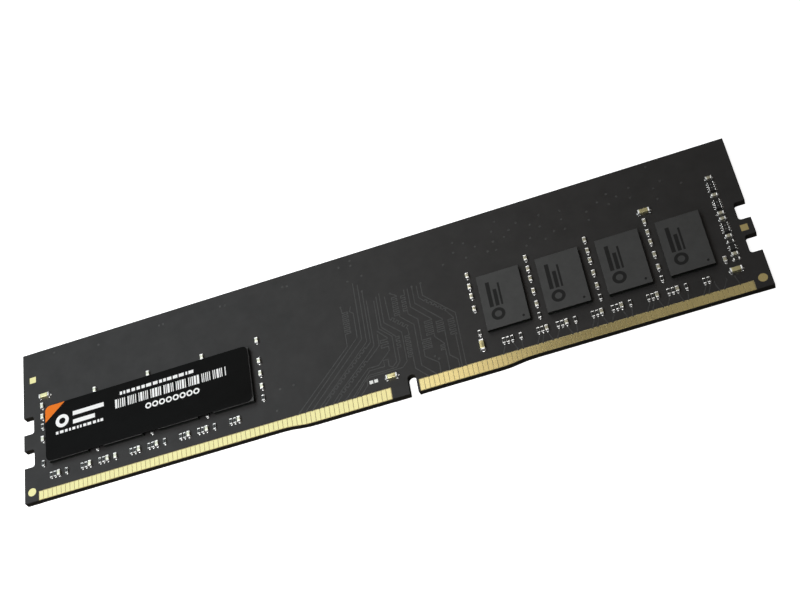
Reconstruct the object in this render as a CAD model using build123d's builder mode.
from build123d import *
import os

# A 288-contact desktop memory module. It lies flat on its back with its memory packages up.
# X runs along the module, Y from its contact edge to its top edge, and Z up out of its front face.
# The origin is on the back face, at the middle of the board's outline. Sizes are in millimetres.
# Places on the board are given from its left end and from the lowest line of its contact edge.

# Board
BOARD_LENGTH = 133.35
BOARD_HEIGHT = 31.25
BOARD_THICKNESS = 1.30
MASK_THICKNESS = 0.05
EDGE_STEP = 0.5
LEFT_RAMP = (48.0, 54.5)
RIGHT_RAMP = (87.0, 93.5)
END_NOTCH_DEPTH = 2.0
END_NOTCH_HEIGHT = 3.55
END_NOTCH_CORNER = 0.5
END_NOTCH_CENTRES = (9.2, 15.95)
KEY_CENTRE = 72.1
KEY_WIDTH = 1.5
KEY_TOP = 3.55

# Edge contacts, counted from the left end on the front face
CONTACT_PITCH = 0.85
CONTACT_WIDTH = 0.74
CONTACT_TOP = 2.15
CONTACT_SETBACK = 0.08
LEFT_CONTACTS = 77
RIGHT_CONTACTS = 67
KEY_TO_LEFT_CONTACT = 4.30
KEY_TO_RIGHT_CONTACT = 1.65
MASK_CLEARANCE = 0.15

# Bare pads
FIDUCIAL_DIAMETER = 1.55
FIDUCIAL_SQUARE = 1.25
ROUND_FIDUCIALS = ((1.42, 2.45), (131.9, 2.3))
SQUARE_FIDUCIALS = ((1.93, 25.4), (131.8, 12.5))
TEST_PAD_SIZE = 0.65
TEST_PAD_CENTRES = ((65.15, 4.3), (66.0, 4.3))
PAD_THICKNESS = 0.035

# Memory packages
PACKAGE_PITCH = 10.5
PACKAGE_FROM_EDGE = 12.4
LEFT_PACKAGE_START = 9.1
RIGHT_PACKAGE_START = 90.3
PACKAGES_PER_SIDE = 4
PACKAGE_WIDTH = 7.5
PACKAGE_LENGTH = 11.0
BALL_STANDOFF = 0.22
BALL_DIAMETER = 0.45
BALL_PITCH = 0.8
BALL_ROWS = 13
BALL_BANK_COLUMNS = 3
BALL_BANK_OFFSET = 2.4
SUBSTRATE_THICKNESS = 0.18
MOULD_THICKNESS = 0.60
MOULD_EDGE_BREAK = 0.03
DIE_WIDTH = 5.2
DIE_LENGTH = 8.9
DIE_THICKNESS = 0.2
INDEX_DOT_DIAMETER = 0.45
INDEX_DOT_DEPTH = 0.03
INDEX_DOT_OFFSET = (2.75, -4.55)

# Label over the left-hand packages
LABEL_LEFT = 4.8
LABEL_RIGHT = 44.3
LABEL_BOTTOM = 6.97
LABEL_TOP = 18.25
LABEL_CORNER = 1.1
LABEL_THICKNESS = 0.12

# Presence detect memory, in the gap between the second and third packages
SPD_CENTRE = (24.85, 13.8)
SPD_WIDTH = 2.0
SPD_LENGTH = 3.0
SPD_HEIGHT = 0.75
SPD_LEAD_HEIGHT = 0.2
SPD_LEAD_WIDTH = 0.25
SPD_LEAD_LENGTH = 0.3
SPD_LEAD_PITCH = 0.5
SPD_LEADS_PER_SIDE = 4

# Chip components: length between the outer faces of the ends, width, height, length of one end
SMALL_CAPACITOR = (1.10, 0.58, 0.50, 0.24)
LARGE_CAPACITOR = (2.05, 0.80, 0.60, 0.32)
RESISTOR = (1.10, 0.50, 0.35, 0.22)
FILM_THICKNESS = 0.03
FILM_MARGIN = 0.05
END_STANDS_PROUD = 0.015
END_ROUNDING = 0.05
ARRAY_BODY_WIDTH = 0.80
ARRAY_END_LENGTH = 0.15
ARRAY_END_WIDTH = 0.32
ARRAY_PITCH = 0.5
ARRAY_HEIGHT = 0.38

# Columns of small parts stand halfway between packages: distances from the contact edge
COLUMN_TOP = 19.2
COLUMN_UPPER = 16.9
COLUMN_MIDDLE = 14.9
COLUMN_LOWER = 12.3
COLUMN_BOTTOM = 9.7
COLUMN_RESISTOR = 7.4
ALL_COLUMN_CAPACITORS = (COLUMN_TOP, COLUMN_UPPER, COLUMN_MIDDLE, COLUMN_LOWER, COLUMN_BOTTOM)

# The row of small parts above the contacts: four groups of seven on each side of the board
ROW_FROM_EDGE = 4.65
ROW_GROUP_PITCH = 9.4
ROW_GROUPS = 4
ROW_LEFT_START = 5.35
ROW_RIGHT_START = 88.75
ROW_OFFSETS = (0.0, 0.72, 1.46, 2.95, 6.0, 6.72, 7.46)
ROW_USUAL_KINDS = "RRCRRRC"

# The column of lying parts at the right end: singles, then arrays with their number of elements
END_COLUMN = 128.95
END_COLUMN_RESISTORS = (6.95, 10.5)
END_COLUMN_CAPACITORS = (7.95, 11.6, 15.2, 16.35, 20.2, 23.9)
END_COLUMN_ARRAYS = ((9.25, 2), (13.4, 4), (18.3, 4), (22.1, 4))
LYING_LARGE_CAPACITORS = ((4.35, 21.2), (117.0, 21.3), (128.35, 5.0), (68.85, 4.15))
STANDING_LARGE_CAPACITOR = (85.05, 5.0)
LONE_SMALL_CAPACITOR = (127.15, 7.45)

FRONT_FACE = BOARD_THICKNESS
PACKAGE_TOP = FRONT_FACE + BALL_STANDOFF + SUBSTRATE_THICKNESS + MOULD_THICKNESS
BOARD_LEFT = -BOARD_LENGTH / 2
BOARD_BOTTOM = -BOARD_HEIGHT / 2
PARTS_FOLDER = "parts"


def on_board(from_left, from_edge):
    """Turn a distance from the left end and one from the contact edge into X and Y."""
    return (BOARD_LEFT + from_left, BOARD_BOTTOM + from_edge)


def lying(places):
    """Places on the front face for parts whose long side runs along X."""
    return [Location((*on_board(*place), FRONT_FACE)) for place in places]


def standing(places):
    """Places on the front face for parts whose long side runs along Y."""
    return [Location((*on_board(*place), FRONT_FACE), (0, 0, 90)) for place in places]


def save(part, name):
    """Name a finished piece and write it to its own file."""
    part.label = name
    export_step(part, f"{PARTS_FOLDER}/{name}.step")


def draw_contact_edge(raised_by):
    """Draw the stepped contact edge from left to right, inside the current line builder."""
    shallow = EDGE_STEP + raised_by
    deep = raised_by
    left_half = sum(LEFT_RAMP) / 2
    right_half = sum(RIGHT_RAMP) / 2
    Line(on_board(0, shallow), on_board(LEFT_RAMP[0], shallow))
    Bezier(
        on_board(LEFT_RAMP[0], shallow),
        on_board(left_half, shallow),
        on_board(left_half, deep),
        on_board(LEFT_RAMP[1], deep),
    )
    Line(on_board(LEFT_RAMP[1], deep), on_board(RIGHT_RAMP[0], deep))
    Bezier(
        on_board(RIGHT_RAMP[0], deep),
        on_board(right_half, deep),
        on_board(right_half, shallow),
        on_board(RIGHT_RAMP[1], shallow),
    )
    Line(on_board(RIGHT_RAMP[1], shallow), on_board(BOARD_LENGTH, shallow))


def draw_area_above_contact_edge(raised_by, top, mode=Mode.ADD):
    """Draw a face from the stepped edge up to a straight line, inside the current sketch."""
    with BuildLine() as outline:
        draw_contact_edge(raised_by)
        Polyline(
            on_board(BOARD_LENGTH, EDGE_STEP + raised_by),
            on_board(BOARD_LENGTH, top),
            on_board(0, top),
            on_board(0, EDGE_STEP + raised_by),
        )
    make_face(outline.edges(), mode=mode)


# Rows of contacts: name of the row, its first contact's place and its number of contacts
LEFT_ROW_START = KEY_CENTRE - KEY_TO_LEFT_CONTACT - (LEFT_CONTACTS - 1) * CONTACT_PITCH
RIGHT_ROW_START = KEY_CENTRE + KEY_TO_RIGHT_CONTACT
CONTACT_ROWS = (
    ("001_to_077", "145_to_221", LEFT_ROW_START, LEFT_CONTACTS),
    ("078_to_144", "222_to_288", RIGHT_ROW_START, RIGHT_CONTACTS),
)


def build_board():
    with BuildPart() as board:
        with BuildSketch():
            draw_area_above_contact_edge(raised_by=0, top=BOARD_HEIGHT)
            end_notches = [
                on_board(end, centre) for end in (0, BOARD_LENGTH) for centre in END_NOTCH_CENTRES
            ]
            with Locations(*end_notches):
                RectangleRounded(
                    2 * END_NOTCH_DEPTH, END_NOTCH_HEIGHT, END_NOTCH_CORNER, mode=Mode.SUBTRACT
                )
            with Locations(on_board(KEY_CENTRE, 0)):
                SlotOverall(2 * KEY_TOP, KEY_WIDTH, rotation=90, mode=Mode.SUBTRACT)
        extrude(amount=BOARD_THICKNESS)

        # The contact rows lie in windows in the solder mask of both faces.
        for face_height, depth in ((FRONT_FACE, -MASK_THICKNESS), (0, MASK_THICKNESS)):
            with BuildSketch(Plane.XY.offset(face_height)):
                for _, _, start, count in CONTACT_ROWS:
                    row_middle = start + (count - 1) * CONTACT_PITCH / 2
                    window_length = (count - 1) * CONTACT_PITCH + CONTACT_WIDTH + 2 * MASK_CLEARANCE
                    with Locations(on_board(row_middle, 0)):
                        Rectangle(window_length, 2 * (CONTACT_TOP + MASK_CLEARANCE))
            extrude(amount=depth, mode=Mode.SUBTRACT)

        # The bare pads lie in openings of their own size in the front mask.
        with BuildSketch(Plane.XY.offset(FRONT_FACE)):
            draw_fiducials()
            draw_test_pads()
        extrude(amount=-MASK_THICKNESS, mode=Mode.SUBTRACT)
    save(board.part, "circuit_board")


def build_contacts():
    faces = (
        ("front", FRONT_FACE - MASK_THICKNESS, 0),
        ("back", 0, 1),
    )
    for side, lower_face, name_index in faces:
        for row in CONTACT_ROWS:
            start, count = row[2:]
            row_middle = start + (count - 1) * CONTACT_PITCH / 2
            with BuildPart() as contacts:
                with BuildSketch(Plane.XY.offset(lower_face)):
                    with Locations(on_board(row_middle, 0)):
                        with GridLocations(CONTACT_PITCH, 0, count, 1):
                            Rectangle(CONTACT_WIDTH, 2 * CONTACT_TOP)
                    draw_area_above_contact_edge(CONTACT_SETBACK, CONTACT_TOP, mode=Mode.INTERSECT)
                extrude(amount=MASK_THICKNESS)
            save(contacts.part, f"{side}_contacts_{row[name_index]}")


def draw_fiducials():
    with Locations(*[on_board(*place) for place in ROUND_FIDUCIALS]):
        Circle(FIDUCIAL_DIAMETER / 2)
    with Locations(*[on_board(*place) for place in SQUARE_FIDUCIALS]):
        Rectangle(FIDUCIAL_SQUARE, FIDUCIAL_SQUARE)


def draw_test_pads():
    with Locations(*[on_board(*place) for place in TEST_PAD_CENTRES]):
        Rectangle(TEST_PAD_SIZE, TEST_PAD_SIZE)


def build_bare_pads():
    pad_base = Plane.XY.offset(FRONT_FACE - MASK_THICKNESS)
    with BuildPart() as fiducials:
        with BuildSketch(pad_base):
            draw_fiducials()
        extrude(amount=PAD_THICKNESS)
    save(fiducials.part, "fiducial_pads")

    with BuildPart() as test_pads:
        with BuildSketch(pad_base):
            draw_test_pads()
        extrude(amount=PAD_THICKNESS)
    save(test_pads.part, "test_pads")


def make_ball_field():
    """Make one package's solder balls, flattened where they meet the board and the substrate."""
    with BuildPart() as ball:
        with Locations((0, 0, BALL_STANDOFF / 2)):
            Sphere(BALL_DIAMETER / 2)
        split(bisect_by=Plane.XY, keep=Keep.TOP)
        split(bisect_by=Plane.XY.offset(BALL_STANDOFF), keep=Keep.BOTTOM)
    with BuildPart() as field:
        with Locations((-BALL_BANK_OFFSET, 0), (BALL_BANK_OFFSET, 0)):
            with GridLocations(BALL_PITCH, BALL_PITCH, BALL_BANK_COLUMNS, BALL_ROWS):
                add(ball.part)
    return field.part


def build_memory_package(number, centre, ball_field):
    substrate_base = FRONT_FACE + BALL_STANDOFF
    mould_base = substrate_base + SUBSTRATE_THICKNESS

    with BuildPart() as balls:
        with Locations((*centre, FRONT_FACE)):
            add(ball_field)
    save(balls.part, f"memory_{number}_solder_balls")

    with BuildPart() as substrate:
        with BuildSketch(Plane.XY.offset(substrate_base)):
            with Locations(centre):
                Rectangle(PACKAGE_WIDTH, PACKAGE_LENGTH)
        extrude(amount=SUBSTRATE_THICKNESS)
    save(substrate.part, f"memory_{number}_substrate")

    with BuildPart() as die:
        with BuildSketch(Plane.XY.offset(mould_base)):
            with Locations(centre):
                Rectangle(DIE_WIDTH, DIE_LENGTH)
        extrude(amount=DIE_THICKNESS)
    save(die.part, f"memory_{number}_die")

    with BuildPart() as mould:
        with BuildSketch(Plane.XY.offset(mould_base)):
            with Locations(centre):
                Rectangle(PACKAGE_WIDTH, PACKAGE_LENGTH)
        extrude(amount=MOULD_THICKNESS)
        chamfer(mould.edges().group_by(Axis.Z)[-1], MOULD_EDGE_BREAK)
        with BuildSketch(Plane.XY.offset(mould_base)):
            with Locations(centre):
                Rectangle(DIE_WIDTH, DIE_LENGTH)
        extrude(amount=DIE_THICKNESS, mode=Mode.SUBTRACT)
        with BuildSketch(Plane.XY.offset(PACKAGE_TOP)):
            with Locations((centre[0] + INDEX_DOT_OFFSET[0], centre[1] + INDEX_DOT_OFFSET[1])):
                Circle(INDEX_DOT_DIAMETER / 2)
        extrude(amount=-INDEX_DOT_DEPTH, mode=Mode.SUBTRACT)
    save(mould.part, f"memory_{number}_mould")


def build_memory_packages():
    ball_field = make_ball_field()
    number = 0
    for start in (LEFT_PACKAGE_START, RIGHT_PACKAGE_START):
        for index in range(PACKAGES_PER_SIDE):
            number += 1
            centre = on_board(start + index * PACKAGE_PITCH, PACKAGE_FROM_EDGE)
            build_memory_package(number, centre, ball_field)


def build_label():
    with BuildPart() as label:
        middle = on_board((LABEL_LEFT + LABEL_RIGHT) / 2, (LABEL_BOTTOM + LABEL_TOP) / 2)
        with BuildSketch(Plane.XY.offset(PACKAGE_TOP)):
            with Locations(middle):
                RectangleRounded(LABEL_RIGHT - LABEL_LEFT, LABEL_TOP - LABEL_BOTTOM, LABEL_CORNER)
        extrude(amount=LABEL_THICKNESS)
    save(label.part, "label")


def draw_presence_detect_leads():
    lead_spacing = SPD_LENGTH - SPD_LEAD_LENGTH
    with Locations(on_board(*SPD_CENTRE)):
        with GridLocations(SPD_LEAD_PITCH, lead_spacing, SPD_LEADS_PER_SIDE, 2):
            Rectangle(SPD_LEAD_WIDTH, SPD_LEAD_LENGTH)


def build_presence_detect():
    """A no-lead package: its leads are set into the lower edges of its body."""
    with BuildPart() as leads:
        with BuildSketch(Plane.XY.offset(FRONT_FACE)):
            draw_presence_detect_leads()
        extrude(amount=SPD_LEAD_HEIGHT)
    save(leads.part, "presence_detect_leads")

    with BuildPart() as body:
        with BuildSketch(Plane.XY.offset(FRONT_FACE)):
            with Locations(on_board(*SPD_CENTRE)):
                Rectangle(SPD_WIDTH, SPD_LENGTH)
        extrude(amount=SPD_HEIGHT)
        chamfer(body.edges().group_by(Axis.Z)[-1], MOULD_EDGE_BREAK)
        with BuildSketch(Plane.XY.offset(FRONT_FACE)):
            draw_presence_detect_leads()
        extrude(amount=SPD_LEAD_HEIGHT, mode=Mode.SUBTRACT)
    save(body.part, "presence_detect_body")


def make_chip_ends(length, width, height, end_length):
    """Make the two metal ends of a chip component, a little larger than its body."""
    end_width = width + 2 * END_STANDS_PROUD
    end_height = height + END_STANDS_PROUD
    with BuildPart() as ends:
        with GridLocations(length - end_length, 0, 2, 1):
            Box(end_length, end_width, end_height, align=(Align.CENTER, Align.CENTER, Align.MIN))
        outer_edges = ends.edges().filter_by(Axis.Y).group_by(Axis.Z)[-1]
        fillet([edge for edge in outer_edges if abs(edge.center().X) > (length - end_length) / 2],
               END_ROUNDING)
    return ends.part


def make_chip_body(length, width, height, end_length):
    """Make the body that shows between the two metal ends."""
    with BuildPart() as body:
        Box(length - 2 * end_length, width, height, align=(Align.CENTER, Align.CENTER, Align.MIN))
    return body.part


def place_copies(piece, places, name):
    """Write one piece, copied to every place on the board, as a node of separate solids."""
    with BuildPart() as copies:
        with Locations(*places):
            add(piece)
    save(copies.part, name)


def column_places():
    """List the small capacitors and the resistors of the columns between the packages."""
    left = [LEFT_PACKAGE_START + (index - 0.5) * PACKAGE_PITCH for index in range(PACKAGES_PER_SIDE + 1)]
    right = [RIGHT_PACKAGE_START + (index - 0.5) * PACKAGE_PITCH for index in range(PACKAGES_PER_SIDE)]
    capacitors_by_column = {
        left[0]: (COLUMN_TOP, COLUMN_UPPER, COLUMN_LOWER),
        left[1]: ALL_COLUMN_CAPACITORS,
        left[2]: (COLUMN_TOP, COLUMN_UPPER, COLUMN_BOTTOM),
        left[3]: ALL_COLUMN_CAPACITORS,
        left[4]: (COLUMN_TOP, COLUMN_MIDDLE, COLUMN_LOWER, COLUMN_BOTTOM),
        right[0]: (COLUMN_TOP, COLUMN_UPPER, COLUMN_MIDDLE, COLUMN_LOWER),
        right[1]: ALL_COLUMN_CAPACITORS,
        right[2]: ALL_COLUMN_CAPACITORS,
        right[3]: ALL_COLUMN_CAPACITORS,
    }
    capacitors = [(column, height) for column, heights in capacitors_by_column.items() for height in heights]
    resistors = [(column, COLUMN_RESISTOR) for column in left + right]
    resistors.append((left[0], COLUMN_MIDDLE))
    return capacitors, resistors


def row_places():
    """List the capacitors and the resistors of the row above the contacts."""
    capacitors = []
    resistors = []
    for side, start in (("left", ROW_LEFT_START), ("right", ROW_RIGHT_START)):
        for group in range(ROW_GROUPS):
            kinds = list(ROW_USUAL_KINDS)
            if side == "left" and group == 1:
                kinds[3] = "C"
            if side == "right" and group == 0:
                kinds[2] = "R"
            if side == "right" and group == ROW_GROUPS - 1:
                kinds.pop()
            for offset, kind in zip(ROW_OFFSETS, kinds):
                place = (start + group * ROW_GROUP_PITCH + offset, ROW_FROM_EDGE)
                (capacitors if kind == "C" else resistors).append(place)
    return capacitors, resistors


def build_chip_components():
    column_capacitors, column_resistors = column_places()
    row_capacitors, row_resistors = row_places()
    small_capacitors = standing([*column_capacitors, *row_capacitors, LONE_SMALL_CAPACITOR])
    small_capacitors += lying([(END_COLUMN, height) for height in END_COLUMN_CAPACITORS])
    large_capacitors = lying(LYING_LARGE_CAPACITORS) + standing([STANDING_LARGE_CAPACITOR])
    resistors = standing([*column_resistors, *row_resistors])
    resistors += lying([(END_COLUMN, height) for height in END_COLUMN_RESISTORS])

    place_copies(make_chip_body(*SMALL_CAPACITOR), small_capacitors, "small_capacitor_bodies")
    place_copies(make_chip_ends(*SMALL_CAPACITOR), small_capacitors, "small_capacitor_ends")
    place_copies(make_chip_body(*LARGE_CAPACITOR), large_capacitors, "large_capacitor_bodies")
    place_copies(make_chip_ends(*LARGE_CAPACITOR), large_capacitors, "large_capacitor_ends")

    length, width, height, end_length = RESISTOR
    place_copies(make_chip_body(length, width, height - FILM_THICKNESS, end_length), resistors,
                 "resistor_bodies")
    with BuildPart() as film:
        with Locations((0, 0, height - FILM_THICKNESS)):
            Box(length - 2 * end_length, width - 2 * FILM_MARGIN, FILM_THICKNESS,
                align=(Align.CENTER, Align.CENTER, Align.MIN))
    place_copies(film.part, resistors, "resistor_films")
    place_copies(make_chip_ends(*RESISTOR), resistors, "resistor_ends")


def build_resistor_arrays():
    body_height = ARRAY_HEIGHT - FILM_THICKNESS
    array_places = [(on_board(END_COLUMN, height), count) for height, count in END_COLUMN_ARRAYS]

    with BuildPart() as bodies:
        with BuildSketch(Plane.XY.offset(FRONT_FACE)):
            for centre, count in array_places:
                with Locations(centre):
                    Rectangle(ARRAY_BODY_WIDTH, count * ARRAY_PITCH)
        extrude(amount=body_height)
    save(bodies.part, "resistor_array_bodies")

    with BuildPart() as films:
        with BuildSketch(Plane.XY.offset(FRONT_FACE + body_height)):
            for centre, count in array_places:
                with Locations(centre):
                    Rectangle(ARRAY_BODY_WIDTH, count * ARRAY_PITCH)
        extrude(amount=FILM_THICKNESS)
    save(films.part, "resistor_array_films")

    with BuildPart() as ends:
        with BuildSketch(Plane.XY.offset(FRONT_FACE)):
            for centre, count in array_places:
                with Locations(centre):
                    with GridLocations(ARRAY_BODY_WIDTH + ARRAY_END_LENGTH, ARRAY_PITCH, 2, count):
                        Rectangle(ARRAY_END_LENGTH, ARRAY_END_WIDTH)
        extrude(amount=ARRAY_HEIGHT)
    save(ends.part, "resistor_array_ends")


os.makedirs(PARTS_FOLDER, exist_ok=True)
build_board()
build_contacts()
build_bare_pads()
build_memory_packages()
build_label()
build_presence_detect()
build_chip_components()
build_resistor_arrays()
